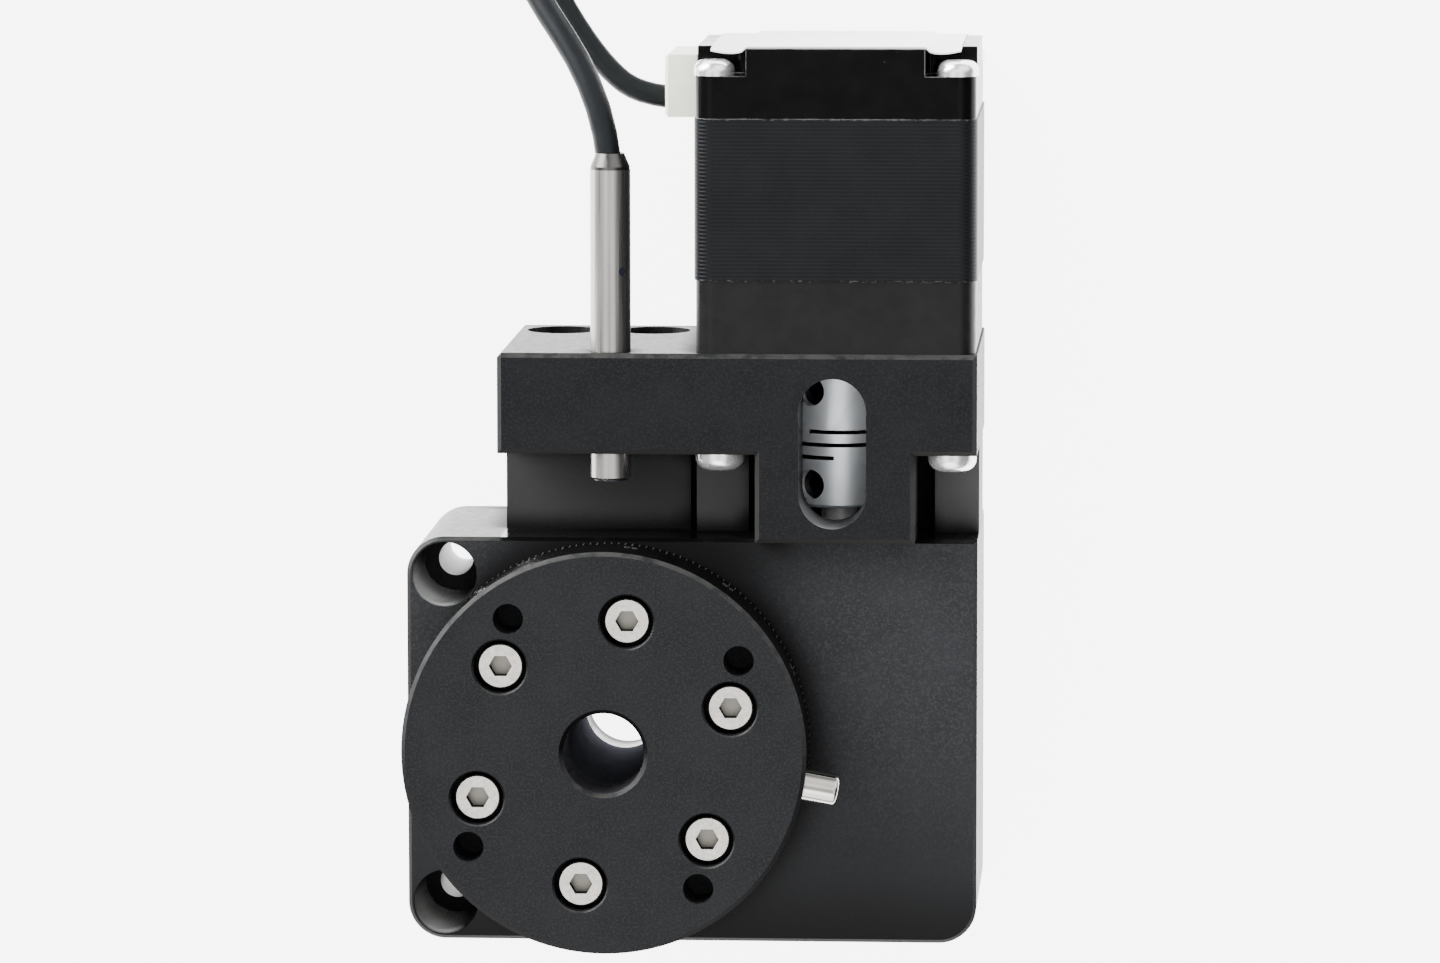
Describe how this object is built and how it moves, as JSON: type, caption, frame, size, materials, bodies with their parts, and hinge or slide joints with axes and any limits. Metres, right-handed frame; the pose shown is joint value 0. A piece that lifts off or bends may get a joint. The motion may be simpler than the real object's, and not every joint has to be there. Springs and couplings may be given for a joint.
{
  "type": "stepper indexing table",
  "caption": "Worm-driven rotary indexing table with a hollow spindle, a bracketed stepper motor, a slit coupling behind a window and a home sensor facing the table's pin.",
  "frame": {"origin": "on the table's axis, in the plane of the mounting face", "axes": "+Z along the table's axis out of the table's face, +Y from the table towards the motor, +X from the table's axis towards the worm"},
  "size_m": [0.0871, 0.1333, 0.0342],
  "materials": {
    "black_anodised": "black anodised, fine satin",
    "bearing_steel": "ground",
    "hardened_steel": "ground",
    "black_oxide_steel": "black oxide",
    "stainless_steel": "stainless, turned",
    "zinc_steel": "zinc plated",
    "gear_bronze": "machined",
    "machined_aluminium": "turned",
    "motor_black": "gloss black paint",
    "stator_steel": "black, laminated",
    "winding": "lacquered copper",
    "ivory_nylon": "moulded",
    "label": "blank",
    "sensor_steel": "stainless",
    "sensor_resin": "cast",
    "led_lens": "clear",
    "cord_sheath": "slate grey PVC",
    "black_nylon": "moulded"
  },
  "bodies": {
    "base": {"body_housing": "black_anodised", "back_cover": "black_anodised", "back_cover_screws": "black_oxide_steel", "worm_bearing_outers": "bearing_steel", "worm_bearing_nut": "hardened_steel", "table_bearing_outer": "bearing_steel", "lower_bearing_outer": "bearing_steel", "motor_bearing_outers": "bearing_steel", "motor_flange": "motor_black", "stator_stack": "stator_steel", "stator_windings": "winding", "motor_end_cap": "motor_black", "motor_case_screws": "zinc_steel", "motor_label": "label", "motor_socket": "ivory_nylon", "motor_plug": "ivory_nylon", "motor_bracket": "black_anodised", "bracket_screws": "black_oxide_steel", "motor_mount_screws": "zinc_steel", "sensor_barrel": "sensor_steel", "sensor_led": "led_lens", "sensor_core": "sensor_resin", "sensor_face": "sensor_resin", "sensor_crimp": "sensor_steel", "sensor_set_screw": "black_oxide_steel", "motor_cord": "cord_sheath", "motor_cord_coil": "cord_sheath", "motor_cord_tie": "black_nylon", "motor_cord_connector": "ivory_nylon", "sensor_cord": "cord_sheath", "sensor_cord_coil": "cord_sheath", "sensor_cord_tie": "black_nylon", "sensor_cord_connector": "ivory_nylon"},
    "table": {"spindle_hub": "hardened_steel", "spindle_nut": "hardened_steel", "table_bearing_inner": "bearing_steel", "lower_bearing_inner": "bearing_steel", "worm_wheel": "gear_bronze", "table_disc": "black_anodised", "table_screws": "stainless_steel", "home_pin": "stainless_steel"},
    "worm": {"worm_shaft": "hardened_steel", "worm_bearing_inners": "bearing_steel", "shaft_coupling": "machined_aluminium", "coupling_set_screws": "black_oxide_steel", "motor_shaft": "hardened_steel", "motor_rotor": "stator_steel", "motor_bearing_inners": "bearing_steel"}
  },
  "joints": [
    {"name": "table_turn", "type": "hinge", "parent": "base", "child": "table", "pos_m": [0, 0, 0], "axis": [0, 0, 1], "continuous": true},
    {"name": "worm_turn", "type": "hinge", "parent": "base", "child": "worm", "pos_m": [0.0225, 0, 0.0141], "axis": [0, 1, 0], "continuous": true}
  ],
  "couplings": [
    {"joint": "worm_turn", "follows": "table_turn", "ratio": -72}
  ]
}
